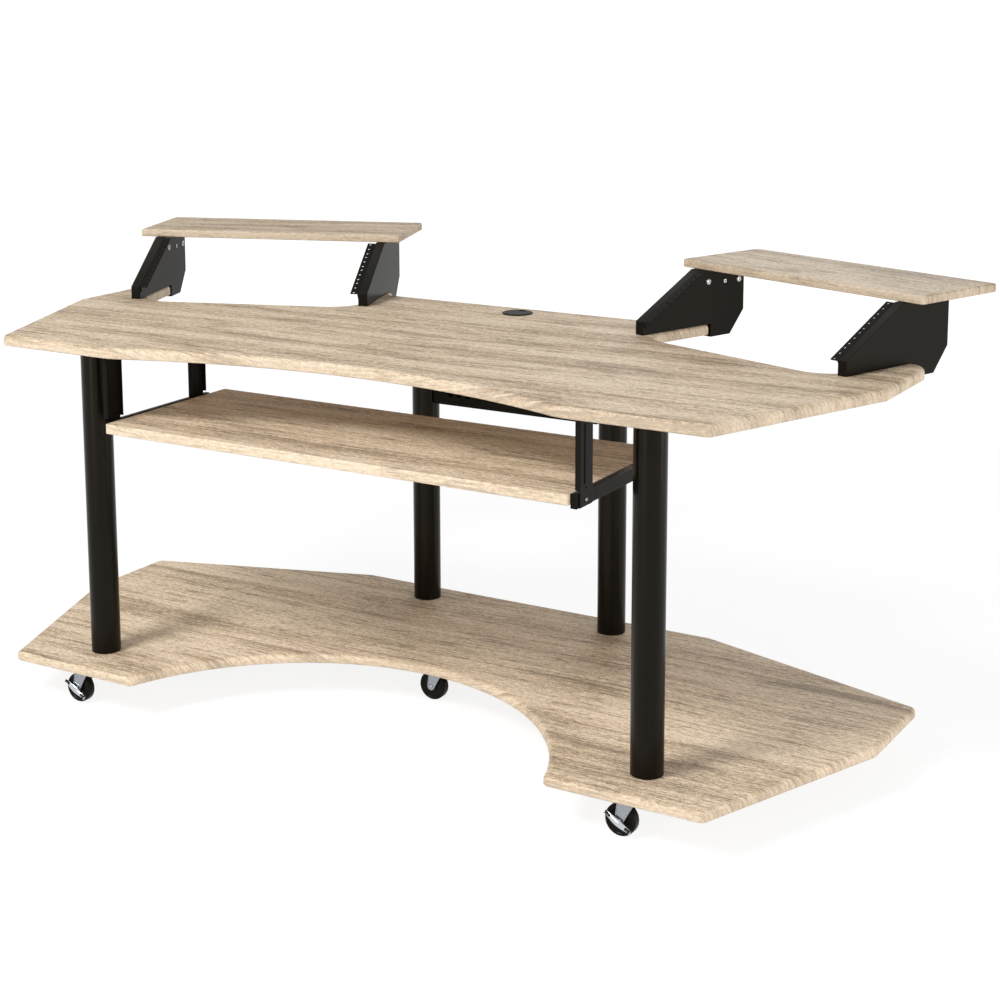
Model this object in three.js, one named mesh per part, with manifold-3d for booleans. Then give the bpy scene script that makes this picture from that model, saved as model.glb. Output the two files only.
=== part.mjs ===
// Studio desk on casters: two shaped boards joined by four tube legs, two angled rack bays
// with shelves over them, and a keyboard tray on ball slides.
// Millimetres. X is to the right of the person at the desk, Y runs away from them, Z is up.
// Plan sizes are measured back from the front edge of the base board (y = 0); the whole
// desk is then centred on the middle of its depth, with z = 0 on the floor.
import * as THREE from 'three';
import { mergeVertices } from 'three/addons/utils/BufferGeometryUtils.js';
import Module from 'manifold-3d';

const wasm = await Module();
wasm.setup();

// Heights above the floor
const casterHeight = 72;
const baseThickness = 18;
const desktopThickness = 21;
const desktopTop = 736;
const shelfThickness = 16;
const shelfTop = 866;
const trayThickness = 19;
const trayTop = 587;
const touchGap = 0.3;

// Corners of the boards in plan, and their edges
const frontCorner = 14;
const wingCorner = 16;
const tightCorner = 9;
const edgeRound = 8;
const edgeEase = 2;

const baseTop = casterHeight + baseThickness;
const desktopUnder = desktopTop - desktopThickness;
const shelfUnder = shelfTop - shelfThickness;

// Base board plan
const baseFrontHalf = 753;
const baseWingHalf = 904;
const baseWingFront = 398;
const baseWingBack = 618;
const baseBackHalf = 416;
const baseBack = 774;
const baseArcRadius = 474;
const baseArcApex = 342;

// Desktop plan
const topFront = 1;
const topFrontHalf = 753;
const topWingHalf = 907;
const topWingFront = 390;
const topBack = 768;
const topArcRadius = 1300;
const topArcApex = 92.5;
const topArcEase = 120;
const topBackStep = 14;
const topBackCorner = 10;

// Rack bays: a 19 inch opening between two brackets, turned towards the person
const bayAngle = THREE.MathUtils.degToRad(19.4);
const bayCentreX = 563.3;
const bayCentreY = 533.2;
const bayWidth = 486;
const bayNotchFront = -11.5;
const bayNotchRound = 72;
const tongueLength = 188;
const tongueTipRound = 52;
const tongueMargin = 8;

// Shelf brackets, in the plane of the bay: s runs back from the bracket's front face
const bracketWidth = 20;
const sheet = 2;
const bracketFoot = 27;
const bracketSlant = 153;
const bracketDepth = 285;
const bracketHookLength = 246;
const bracketHookDrop = 26;
const bracketRearLow = 21;
const bracketHeight = shelfUnder - desktopTop;
const bracketSeat = tongueLength + 2;
const bracketSlope = Math.atan2(bracketHeight - bracketFoot, bracketSlant);
const bracketOpening = 30;

// Rack rails: 4 rack units of three holes each
const rackUnit = 44.45;
const rackUnits = 4;
const rackHolePlaces = [6.35, 22.225, 38.1];
const railFlange = 17;
const railLeg = 14;
const railHole = 6.2;
const rackHoleSpan = 465.1;
const railHoleFromBracket = (bayWidth - rackHoleSpan) / 2;
const railLength = bracketSlant / Math.cos(bracketSlope) - 3;

// Shelves
const shelfWidth = 593;
const shelfDepth = 219;
const shelfOutward = 2.5;
const shelfCorner = 5;
const shelfEdgeRound = 4;
const shelfEdgeEase = 1.5;
const shelfFrontInBay = 160;

// Legs
const legRadius = 29;
const legWall = 2;
const legPlate = 5;
const frontLeg = [603.5, 99];
const rearLeg = [224.5, 705];
const legPlaces = [
  { name: 'front_left', x: -frontLeg[0], y: frontLeg[1] },
  { name: 'front_right', x: frontLeg[0], y: frontLeg[1] },
  { name: 'rear_left', x: -rearLeg[0], y: rearLeg[1] },
  { name: 'rear_right', x: rearLeg[0], y: rearLeg[1] },
];
const boltRadius = 5;
const studRise = 14;
const studDrop = 22;
const nutRadius = 9;
const nutHeight = 8;
const boltHeadRadius = 8.5;
const boltHeadHeight = 6.5;
const washerRadius = 12;
const washerHeight = 2;
const boltPastPlate = 8;

// Perforated beam between the rear legs
const beamHeight = 48;
const beamDepth = 30;
const beamCentreZ = 551;
const beamHole = 12;
const beamHolePitch = 22.1;
const beamHoles = 15;

// Keyboard tray, its slides and hangers
const trayHalf = 500;
const trayFront = 5;
const trayDepth = 362;
const trayCorner = 4;
const trayEdgeEase = 1;
const slideFront = 16;
const slideLength = 305;
const slideBottom = 562;
const slideHeight = 26;
const slideTop = slideBottom + slideHeight;
const slideWall = 1.5;
const slideCapDepth = 4;
const slideOuter = trayHalf + 12.5;
const channelLip = 2.3;
const cageLip = 3.5;
const cageWall = 1.8;
const cageClearance = 1.9;
const runnerDepth = 7.5;
const runnerClearance = 5.5;
const cageLength = 150;
const cageFront = 150;
const hangerWidth = 45;
const hangerFlange = 8;
const hangerTopFlange = 28;
const hangerTopSheet = 2.5;
const hangerFronts = { front: 19, rear: 270 };
const hangerFlangeBottom = 592;

// Cable grommet
const grommetY = 708;
const grommetHole = 58;
const grommetFlange = 64;
const grommetBore = 51;
const grommetLip = 2;
const sleeveDrop = 20;
const capRecess = 1.2;
const capThickness = 3;
const capChamfer = 1;
const capSlotHalf = 8;
const capSlotFrom = 14;

// Casters: the swivel axis stands at the listed place and the wheel trails to the left
const casterTrail = 16;
const wheelRadius = 29;
const wheelWidth = 18;
const wheelSides = 20;
const wheelRimDepth = 8;
const wheelRecess = 3;
const wheelChamfer = 3;
const hubRadius = 10;
const hubProud = 1;
const axleRadius = 4;
const axleHeadRadius = 6.2;
const axleHeadHeight = 2.2;
const runningGap = 0.3;
const forkInside = 22;
const forkSheet = 2.5;
const crownFront = 13;
const crownBack = -19;
const crownThickness = 3;
const cheekEnd = 8;
const casterPlateHalf = 26;
const casterPlateCorner = 6;
const casterPlateThickness = 2.5;
const plateScrewPlace = 19;
const plateScrewRadius = 2.6;
const raceRadius = 16;
const raceHeight = 3.5;
const kingpinRadius = 5;
const kingpinHeadRadius = 9;
const kingpinHeadHeight = 2.2;
const crownTop = casterHeight - touchGap - casterPlateThickness - raceHeight - 2 * touchGap;
const pedalReach = 28.5;
const pedalTipHalf = 3;
const pedalMiddleHalf = 7;
const pedalMiddleReach = 12;
const pedalSheet = 2;
const pedalTabDepth = 10;
const pedalTabHalf = 4;
const pedalTilt = THREE.MathUtils.degToRad(31);
const casterPlaces = {
  front_left: { x: -603.5, y: 39, pedal: true },
  front_right: { x: 603.5, y: 39, pedal: true },
  centre: { x: 0, y: 402, pedal: false },
  rear_left: { x: -640, y: 640, pedal: false },
  rear_right: { x: 640, y: 640, pedal: false },
};

// Finishes
const oak = { color: 0xcdb89c, roughness: 0.6, metalness: 0 };
const blackPaint = { color: 0x22201e, roughness: 0.45, metalness: 0.1 };
const blackSteel = { color: 0x181715, roughness: 0.4, metalness: 0.3 };
const blackPlastic = { color: 0x1c1b1a, roughness: 0.5, metalness: 0 };
const zinc = { color: 0xb9bcc0, roughness: 0.3, metalness: 0.9 };
const wheelBlack = { color: 0x141413, roughness: 0.3, metalness: 0 };

const desk = new THREE.Group();

function place(name, geometry, finish, parent = desk) {
  const mesh = new THREE.Mesh(geometry, new THREE.MeshStandardMaterial(finish));
  mesh.name = name;
  parent.add(mesh);
  return mesh;
}

// Solids for joining and cutting
function solidOf(geometry) {
  const bare = geometry.clone();
  bare.deleteAttribute('normal');
  bare.deleteAttribute('uv');
  const merged = mergeVertices(bare, 1e-4);
  return new wasm.Manifold(new wasm.Mesh({
    numProp: 3,
    vertProperties: new Float32Array(merged.attributes.position.array),
    triVerts: new Uint32Array(merged.index.array),
  }));
}

function geometryOf(solid) {
  const mesh = solid.getMesh();
  const geometry = new THREE.BufferGeometry();
  geometry.setAttribute('position', new THREE.BufferAttribute(new Float32Array(mesh.vertProperties), 3));
  geometry.setIndex(new THREE.BufferAttribute(new Uint32Array(mesh.triVerts), 1));
  geometry.computeVertexNormals();
  return geometry;
}

function join(...geometries) {
  return geometryOf(geometries.map(solidOf).reduce((whole, next) => whole.add(next)));
}

function cut(geometry, ...cutters) {
  return geometryOf(cutters.map(solidOf).reduce((whole, next) => whole.subtract(next), solidOf(geometry)));
}

// Simple shapes
function block(x0, x1, y0, y1, z0, z1) {
  const geometry = new THREE.BoxGeometry(x1 - x0, y1 - y0, z1 - z0);
  return geometry.translate((x0 + x1) / 2, (y0 + y1) / 2, (z0 + z1) / 2);
}

function post(radius, z0, z1, x = 0, y = 0, sides = 12) {
  const geometry = new THREE.CylinderGeometry(radius, radius, z1 - z0, sides);
  return geometry.rotateX(Math.PI / 2).translate(x, y, (z0 + z1) / 2);
}

function turned(profile, sides = 24) {
  const points = profile.map(([radius, height]) => new THREE.Vector2(radius, height));
  return new THREE.LatheGeometry(points, sides).rotateX(Math.PI / 2);
}

function shapeOf(points) {
  return new THREE.Shape(points.map(([a, b]) => new THREE.Vector2(a, b)));
}

// A profile in the YZ plane, carried from x0 to x1
function acrossX(points, x0, x1) {
  const geometry = new THREE.ExtrudeGeometry(shapeOf(points), { depth: x1 - x0, bevelEnabled: false });
  const turn = new THREE.Matrix4().makeBasis(
    new THREE.Vector3(0, 1, 0), new THREE.Vector3(0, 0, 1), new THREE.Vector3(1, 0, 0));
  return geometry.applyMatrix4(turn).translate(x0, 0, 0);
}

// A profile in the XZ plane, carried from y0 to y1
function alongY(points, y0, y1) {
  const geometry = new THREE.ExtrudeGeometry(shapeOf(points), { depth: y1 - y0, bevelEnabled: false });
  const turn = new THREE.Matrix4().makeBasis(
    new THREE.Vector3(1, 0, 0), new THREE.Vector3(0, 0, 1), new THREE.Vector3(0, -1, 0));
  return geometry.applyMatrix4(turn).translate(0, y1, 0);
}

// Outline corners [x, y, round]: each corner with a radius becomes an arc
function roundedOutline(corners, stepAngle = Math.PI / 10) {
  const outline = [];
  corners.forEach(([x, y, round], i) => {
    const corner = new THREE.Vector2(x, y);
    if (!round) {
      outline.push(corner);
      return;
    }
    const [px, py] = corners[(i + corners.length - 1) % corners.length];
    const [nx, ny] = corners[(i + 1) % corners.length];
    const back = new THREE.Vector2(px, py).sub(corner).normalize();
    const on = new THREE.Vector2(nx, ny).sub(corner).normalize();
    const half = Math.acos(THREE.MathUtils.clamp(back.dot(on), -1, 1)) / 2;
    const centre = back.clone().add(on).normalize().multiplyScalar(round / Math.sin(half)).add(corner);
    const start = back.clone().multiplyScalar(round / Math.tan(half)).add(corner).sub(centre);
    const turn = Math.PI - 2 * half;
    const side = Math.sign(start.clone().cross(corner.clone().sub(centre)));
    const steps = Math.max(1, Math.ceil(turn / stepAngle));
    for (let k = 0; k <= steps; k += 1) {
      outline.push(start.clone().rotateAround(new THREE.Vector2(), side * turn * k / steps).add(centre));
    }
  });
  return outline;
}

// The same outline moved in by a distance (outlines run anticlockwise)
function movedIn(outline, distance) {
  return outline.map((point, i) => {
    const before = outline[(i + outline.length - 1) % outline.length];
    const after = outline[(i + 1) % outline.length];
    const a = point.clone().sub(before).normalize();
    const b = after.clone().sub(point).normalize();
    const inward = new THREE.Vector2(-(a.y + b.y), a.x + b.x).normalize();
    const spread = Math.max(0.3, inward.dot(new THREE.Vector2(-a.y, a.x)));
    return point.clone().addScaledVector(inward, distance / spread);
  });
}

// A board with its top edge rounded over and its lower edge eased
function board(outline, thickness, topRound, underRound, z0) {
  const levels = [[0, underRound], [underRound, 0]];
  const arcSteps = topRound > 3 ? 2 : 1;
  for (let k = 0; k <= arcSteps; k += 1) {
    const angle = k / arcSteps * Math.PI / 2;
    levels.push([thickness - topRound + topRound * Math.sin(angle), topRound * (1 - Math.cos(angle))]);
  }
  const count = outline.length;
  const positions = [];
  const index = [];
  const rings = levels.map(([, inset]) => movedIn(outline, inset));
  rings.forEach((ring, k) => ring.forEach((p) => positions.push(p.x, p.y, z0 + levels[k][0])));
  for (let k = 0; k < rings.length - 1; k += 1) {
    for (let i = 0; i < count; i += 1) {
      const a = k * count + i;
      const b = k * count + (i + 1) % count;
      index.push(a, b, b + count, a, b + count, a + count);
    }
  }
  const last = (rings.length - 1) * count;
  THREE.ShapeUtils.triangulateShape(rings[0], []).forEach(([a, b, c]) => index.push(a, c, b));
  THREE.ShapeUtils.triangulateShape(rings.at(-1), []).forEach(([a, b, c]) => {
    index.push(last + a, last + b, last + c);
  });
  const geometry = new THREE.BufferGeometry();
  geometry.setAttribute('position', new THREE.Float32BufferAttribute(positions, 3));
  geometry.setIndex(index);
  return geometry;
}

// Points of a front cut-out, from the left end of its arc to the right
function cutoutArc(radius, apex, front, endRound, steps) {
  const centreY = apex - radius;
  const reach = Math.acos((front - centreY) / radius);
  const points = [];
  for (let k = 0; k <= steps; k += 1) {
    const angle = Math.PI / 2 + reach - 2 * reach * k / steps;
    const round = k === 0 || k === steps ? endRound : 0;
    points.push([radius * Math.cos(angle), centreY + radius * Math.sin(angle), round]);
  }
  return points;
}

// Bay coordinates (across, back) on one side of the desk, as plan coordinates
function fromBay(side, across, back) {
  const c = Math.cos(bayAngle);
  const s = Math.sin(bayAngle);
  return [side * (bayCentreX + across * c + back * s), bayCentreY - across * s + back * c];
}

function mirrored(corners) {
  return corners.map(([x, y, round]) => [-x, y, round]).reverse();
}

// Boards
function baseBoard() {
  const arc = cutoutArc(baseArcRadius, baseArcApex, 0, frontCorner, 20);
  const right = [
    [baseFrontHalf, 0, frontCorner],
    [baseWingHalf, baseWingFront, wingCorner],
    [baseWingHalf, baseWingBack, wingCorner],
    [baseBackHalf, baseBack, wingCorner],
  ];
  const outline = roundedOutline([...arc, ...right, ...mirrored(right)]);
  const whole = board(outline, baseThickness, edgeRound, edgeEase, casterHeight);
  return cut(whole, ...legPlaces.map(({ x, y }) => post(boltRadius + touchGap, 0, desktopTop, x, y)));
}

function desktopBoard() {
  const arc = cutoutArc(topArcRadius, topArcApex, topFront, topArcEase, 16);
  const half = bayWidth / 2;
  const outerTip = (topWingHalf - bayCentreX - tongueLength * Math.sin(bayAngle)) / Math.cos(bayAngle);
  const innerEnd = fromBay(1, -half - bracketWidth - tongueMargin, tongueLength);
  const right = [
    [topFrontHalf, topFront, frontCorner],
    [topWingHalf, topWingFront, wingCorner],
    [...fromBay(1, outerTip, tongueLength), tongueTipRound],
    [...fromBay(1, half, tongueLength), tightCorner],
    [...fromBay(1, half, bayNotchFront), bayNotchRound],
    [...fromBay(1, -half, bayNotchFront), bayNotchRound],
    [...fromBay(1, -half, tongueLength), tightCorner],
    [...innerEnd, tightCorner],
    [innerEnd[0] - topBackStep, topBack, topBackCorner],
  ];
  const outline = roundedOutline([...arc, ...right, ...mirrored(right)]);
  const whole = board(outline, desktopThickness, edgeRound, edgeEase, desktopUnder);
  const sleeveHole = post(grommetHole / 2 + touchGap, baseTop, desktopTop + edgeRound, 0, grommetY, 24);
  const studTop = desktopUnder + studRise + touchGap;
  const studs = legPlaces.map(({ x, y }) => post(boltRadius + touchGap, baseTop, studTop, x, y));
  return cut(whole, sleeveHole, ...studs);
}

function trayBoard() {
  const corners = [
    [-trayHalf, trayFront, trayCorner],
    [trayHalf, trayFront, trayCorner],
    [trayHalf, trayFront + trayDepth, trayCorner],
    [-trayHalf, trayFront + trayDepth, trayCorner],
  ];
  const outline = roundedOutline(corners, Math.PI / 4);
  return board(outline, trayThickness, trayEdgeEase, trayEdgeEase, trayTop - trayThickness);
}

// A shelf reaches a little further out than in over its bay
function shelfBoard(side) {
  const low = -shelfWidth / 2 + side * shelfOutward;
  const high = shelfWidth / 2 + side * shelfOutward;
  const back = shelfFrontInBay + shelfDepth;
  const corners = [
    [low, shelfFrontInBay, shelfCorner],
    [high, shelfFrontInBay, shelfCorner],
    [high, back, shelfCorner],
    [low, back, shelfCorner],
  ];
  const outline = roundedOutline(corners, Math.PI / 6);
  return board(outline, shelfThickness, shelfEdgeRound, shelfEdgeEase, shelfUnder);
}

// Legs: a tube with a plate welded in each end, a stud into the desktop and a bolt from below
function legTube() {
  const low = baseTop + touchGap;
  const high = desktopUnder - touchGap;
  const hole = boltRadius + touchGap;
  const inside = legRadius - legWall;
  return turned([
    [hole, low], [legRadius, low], [legRadius, high], [hole, high], [hole, high - legPlate],
    [inside, high - legPlate], [inside, low + legPlate], [hole, low + legPlate], [hole, low],
  ]);
}

function legStud() {
  const nut = desktopUnder - legPlate - 2 * touchGap;
  const low = nut - studDrop;
  const high = desktopUnder + studRise;
  return turned([
    [0, low], [boltRadius, low], [boltRadius, nut - nutHeight], [nutRadius, nut - nutHeight],
    [nutRadius, nut], [boltRadius, nut], [boltRadius, high], [0, high],
  ], 10);
}

function baseBolt() {
  const seat = casterHeight - touchGap;
  const head = seat - washerHeight;
  const low = seat - boltHeadHeight;
  const high = baseTop + touchGap + legPlate + boltPastPlate;
  return turned([
    [0, low], [boltHeadRadius, low], [boltHeadRadius, head], [washerRadius, head],
    [washerRadius, seat], [boltRadius, seat], [boltRadius, high], [0, high],
  ], 10);
}

// Beam: a folded channel, open at the top, with a row of round holes in its face
function rearBeam() {
  const half = rearLeg[0] - legRadius - touchGap;
  const front = rearLeg[1] - beamDepth / 2;
  const back = rearLeg[1] + beamDepth / 2;
  const low = beamCentreZ - beamHeight / 2;
  const high = beamCentreZ + beamHeight / 2;
  const channel = acrossX([
    [front, low], [back, low], [back, high], [back - sheet, high],
    [back - sheet, low + sheet], [front + sheet, low + sheet], [front + sheet, high], [front, high],
  ], -half, half);
  const holes = [];
  for (let k = 0; k < beamHoles; k += 1) {
    const x = (k - (beamHoles - 1) / 2) * beamHolePitch;
    const bore = new THREE.CylinderGeometry(beamHole / 2, beamHole / 2, 4 * sheet, 6);
    holes.push(bore.translate(x, front + sheet / 2, beamCentreZ));
  }
  return cut(channel, ...holes);
}

// Bracket: a folded sheet channel, open to the rear, with a hook behind the desktop
function bracketProfile(inset) {
  const low = touchGap + inset;
  const high = bracketHeight - touchGap - inset;
  const rise = Math.tan(bracketSlope);
  const footTop = bracketFoot + inset * rise - inset / Math.cos(bracketSlope);
  const slantTop = inset + (high - footTop) / rise;
  const seat = bracketSeat + inset;
  const open = inset > 0 ? bracketOpening : 0;
  return [
    [inset, low], [seat, low], [seat, -bracketHookDrop - open],
    [bracketHookLength + open, -bracketHookDrop - open], [bracketDepth + open, bracketRearLow],
    [bracketDepth + open, high], [slantTop, high], [inset, footTop],
  ];
}

function bracket(across) {
  const outer = acrossX(bracketProfile(0), across, across + bracketWidth);
  const pocket = acrossX(bracketProfile(sheet), across + sheet, across + bracketWidth - sheet);
  return cut(outer, pocket).translate(0, 0, desktopTop);
}

// Rack rail: a punched angle whose face lies in the plane of the bracket's slanted front
function rackRail(side) {
  const bracketFace = bayWidth / 2 - touchGap;
  const edge = bayWidth / 2 - railFlange;
  const angle = alongY([
    [edge, -sheet], [bracketFace - sheet, -sheet], [bracketFace - sheet, -railLeg],
    [bracketFace, -railLeg], [bracketFace, 0], [edge, 0],
  ], 0, railLength);
  const lastPlace = (rackUnits - 1) * rackUnit + rackHolePlaces[2] - rackHolePlaces[0];
  const first = (railLength - lastPlace) / 2 - rackHolePlaces[0];
  const holes = [];
  for (let unit = 0; unit < rackUnits; unit += 1) {
    for (const place of rackHolePlaces) {
      const y = first + unit * rackUnit + place;
      holes.push(post(railHole / 2, -2 * sheet, sheet, bracketFace - railHoleFromBracket, y, 6));
    }
  }
  const rail = cut(angle, ...holes).rotateX(bracketSlope).translate(0, 0, bracketFoot + desktopTop);
  return side > 0 ? rail : handed(rail);
}

// The same piece for the other hand
function handed(geometry) {
  const other = geometry.clone().scale(-1, 1, 1);
  const order = other.index.array;
  for (let i = 0; i < order.length; i += 3) {
    [order[i], order[i + 1]] = [order[i + 1], order[i]];
  }
  return other;
}

// Slides: a channel on the hangers, a ball cage in it and a runner on the tray
function slideSection(inner, outer, low, high, wall) {
  return [
    [inner, low], [outer, low], [outer, high], [inner, high], [inner, high - wall],
    [outer - wall, high - wall], [outer - wall, low + wall], [inner, low + wall],
  ];
}

function slideChannel() {
  const section = slideSection(trayHalf + channelLip, slideOuter, slideBottom, slideTop, slideWall);
  return alongY(section, slideFront, slideFront + slideLength);
}

function ballCage() {
  const low = slideBottom + cageClearance;
  const high = slideTop - cageClearance;
  const section = slideSection(trayHalf + cageLip, slideOuter - cageClearance, low, high, cageWall);
  return alongY(section, cageFront, cageFront + cageLength);
}

// The runner opens away from the tray and carries the cap over the slide's front end
function slideRunner() {
  const low = slideBottom + runnerClearance;
  const high = slideTop - runnerClearance;
  const inner = trayHalf + touchGap;
  const outer = trayHalf + runnerDepth;
  const section = [
    [inner, low], [outer, low], [outer, low + slideWall], [inner + slideWall, low + slideWall],
    [inner + slideWall, high - slideWall], [outer, high - slideWall], [outer, high], [inner, high],
  ];
  const capBack = slideFront - touchGap;
  const bar = alongY(section, capBack - 1, slideFront + slideLength);
  const cap = block(inner, slideOuter, capBack - slideCapDepth, capBack, slideBottom, slideTop);
  return join(bar, cap);
}

// Hanger: a folded strip with side flanges, hung from a flange under the desktop
function trayHanger(front) {
  const back = front + hangerWidth;
  const inner = slideOuter + touchGap;
  const outer = inner + sheet;
  const high = desktopUnder - touchGap;
  const web = block(inner, outer, front, back, slideBottom, high);
  const top = block(outer - hangerTopFlange, outer, front, back, high - hangerTopSheet, high);
  const flanges = [front, back - sheet].map((y0) => (
    block(inner - hangerFlange, inner + sheet / 2, y0, y0 + sheet, hangerFlangeBottom, high - sheet)));
  return join(web, top, ...flanges);
}

// Grommet: a flanged sleeve, and a cap with a slot for cables
function grommetSleeve() {
  const outer = grommetHole / 2;
  const bore = grommetBore / 2;
  const rim = grommetFlange / 2;
  const face = desktopTop + touchGap;
  const top = face + grommetLip;
  const seat = face - capRecess;
  return turned([
    [bore - 2, face - sleeveDrop], [outer, face - sleeveDrop], [outer, face], [rim, face],
    [rim - 1, top], [bore + touchGap, top], [bore + touchGap, seat], [bore - 2, seat],
    [bore - 2, face - sleeveDrop],
  ]);
}

function grommetCap() {
  const seat = desktopTop + 2 * touchGap - capRecess;
  const top = seat + capThickness;
  const rim = grommetBore / 2;
  const disc = turned([[0, seat], [rim, seat], [rim, top - capChamfer], [rim - capChamfer, top], [0, top]]);
  return cut(disc, block(-capSlotHalf, capSlotHalf, capSlotFrom, rim + 5, seat - 5, top + 5));
}

// Casters, drawn about the swivel axis with the floor at z = 0
function casterPlate() {
  const top = casterHeight - touchGap;
  const under = top - casterPlateThickness;
  const pinEnd = crownTop - crownThickness - touchGap;
  const corner = casterPlateHalf;
  const outline = roundedOutline([
    [-corner, -corner, casterPlateCorner], [corner, -corner, casterPlateCorner],
    [corner, corner, casterPlateCorner], [-corner, corner, casterPlateCorner],
  ], Math.PI / 4);
  const plate = new THREE.ExtrudeGeometry(new THREE.Shape(outline), {
    depth: casterPlateThickness, bevelEnabled: false,
  }).translate(0, 0, under);
  const race = turned([
    [0, pinEnd - kingpinHeadHeight], [kingpinHeadRadius, pinEnd - kingpinHeadHeight],
    [kingpinHeadRadius, pinEnd], [kingpinRadius, pinEnd], [kingpinRadius, under - raceHeight],
    [raceRadius, under - raceHeight], [raceRadius, under + 1], [0, under + 1],
  ], 14);
  const screws = [[-1, -1], [1, -1], [1, 1], [-1, 1]].map(([i, j]) => (
    post(plateScrewRadius, under - 3, top + 3, i * plateScrewPlace, j * plateScrewPlace, 6)));
  return cut(join(plate, race), ...screws);
}

// Fork: a crown under the race and two cheeks that taper down to the axle
function casterFork() {
  const outside = forkInside / 2 + forkSheet;
  const cheek = [
    [cheekEnd - casterTrail, wheelRadius - cheekEnd / 3], [crownFront, crownTop], [crownBack, crownTop],
    [-cheekEnd - casterTrail, wheelRadius], [-cheekEnd / 2 - casterTrail, wheelRadius - cheekEnd],
    [cheekEnd / 2 - casterTrail, wheelRadius - cheekEnd],
  ];
  const cheeks = [-outside, forkInside / 2].map((near) => alongY(cheek, near, near + forkSheet));
  const crownHalf = outside - forkSheet / 2;
  const crown = block(crownBack, crownFront, -crownHalf, crownHalf, crownTop - crownThickness, crownTop);
  const pinHole = post(kingpinRadius + runningGap, 0, casterHeight, 0, 0, 14);
  const axleHole = new THREE.CylinderGeometry(axleRadius + runningGap, axleRadius + runningGap, 60, 12)
    .translate(-casterTrail, 0, wheelRadius);
  return cut(join(crown, ...cheeks), pinHole, axleHole);
}

// A riveted axle lies along Y with a head outside each cheek
function casterAxle() {
  const head = forkInside / 2 + forkSheet + touchGap;
  const end = head + axleHeadHeight;
  return turned([
    [0, -end], [axleRadius, -end], [axleHeadRadius, -head], [axleRadius, -head],
    [axleRadius, head], [axleHeadRadius, head], [axleRadius, end], [0, end],
  ], 10).rotateX(Math.PI / 2).translate(-casterTrail, 0, wheelRadius);
}

// The wheel is turned so that it stands on the middle of one of its flats
function casterWheel() {
  const half = wheelWidth / 2;
  const tread = wheelRadius / Math.cos(Math.PI / wheelSides);
  const bore = axleRadius + runningGap;
  const rim = wheelRadius - wheelRimDepth;
  const web = half - wheelRecess;
  const hub = half + hubProud;
  const profile = [
    [bore, -hub], [hubRadius, -hub], [hubRadius, -web], [rim, -web], [tread - wheelChamfer, -half],
    [tread, wheelChamfer - half], [tread, half - wheelChamfer], [tread - wheelChamfer, half],
    [rim, web], [hubRadius, web], [hubRadius, hub], [bore, hub], [bore, -hub],
  ];
  return turned(profile, wheelSides).rotateX(Math.PI / 2).rotateY(Math.PI / wheelSides)
    .translate(-casterTrail, 0, wheelRadius);
}

// Brake pedal: a bowed rocker on the front cheek with a foot tab at each end
function brakePedal() {
  const [r, m, t, h] = [pedalReach, pedalMiddleReach, pedalTipHalf, pedalMiddleHalf];
  const rocker = [[-r, -t], [-m, -h], [m, -h], [r, -t], [r, t], [m, h], [-m, h], [-r, t]];
  const near = -(forkInside / 2 + forkSheet + axleHeadHeight + 2 * touchGap);
  const plate = alongY(rocker, near - pedalSheet, near);
  const tabs = [-r, r - pedalSheet].map((x) => (
    block(x, x + pedalSheet, near - pedalTabDepth, near - 1, -pedalTabHalf, pedalTabHalf)));
  return join(plate, ...tabs).rotateY(pedalTilt).translate(-casterTrail, 0, wheelRadius);
}

// Assembly
place('base_board', baseBoard(), oak);
place('desktop', desktopBoard(), oak);
place('keyboard_tray', trayBoard(), oak);

for (const { name, x, y } of legPlaces) {
  place(`leg_${name}`, legTube(), blackPaint).position.set(x, y, 0);
  place(`leg_stud_${name}`, legStud(), zinc).position.set(x, y, 0);
  place(`base_bolt_${name}`, baseBolt(), zinc).position.set(x, y, 0);
}
place('rear_beam', rearBeam(), blackPaint);

for (const [name, side] of [['left', -1], ['right', 1]]) {
  const bay = new THREE.Group();
  bay.position.set(side * bayCentreX, bayCentreY, 0);
  bay.rotation.z = -side * bayAngle;
  desk.add(bay);
  place(`rack_shelf_${name}`, shelfBoard(side), oak, bay);
  for (const end of [-1, 1]) {
    const which = end === side ? 'outer' : 'inner';
    const across = end > 0 ? bayWidth / 2 : -bayWidth / 2 - bracketWidth;
    place(`rack_bracket_${name}_${which}`, bracket(across), blackPaint, bay);
    place(`rack_rail_${name}_${which}`, rackRail(end), blackSteel, bay);
  }
  const forSide = (geometry) => (side > 0 ? geometry : handed(geometryOf(solidOf(geometry))));
  place(`slide_channel_${name}`, forSide(slideChannel()), blackSteel);
  place(`slide_cage_${name}`, forSide(ballCage()), zinc);
  place(`slide_runner_${name}`, forSide(slideRunner()), blackSteel);
  for (const [spot, front] of Object.entries(hangerFronts)) {
    place(`tray_hanger_${spot}_${name}`, forSide(trayHanger(front)), blackPaint);
  }
}

place('grommet_sleeve', grommetSleeve(), blackPlastic).position.set(0, grommetY, 0);
place('grommet_cap', grommetCap(), blackPlastic).position.set(0, grommetY, 0);

for (const [name, { x, y, pedal }] of Object.entries(casterPlaces)) {
  const caster = new THREE.Group();
  caster.position.set(x, y, 0);
  desk.add(caster);
  place(`caster_plate_${name}`, casterPlate(), zinc, caster);
  place(`caster_fork_${name}`, casterFork(), zinc, caster);
  place(`caster_axle_${name}`, casterAxle(), zinc, caster);
  place(`caster_wheel_${name}`, casterWheel(), wheelBlack, caster);
  if (pedal) {
    place(`brake_pedal_${name}`, brakePedal(), zinc, caster);
  }
}

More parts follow.
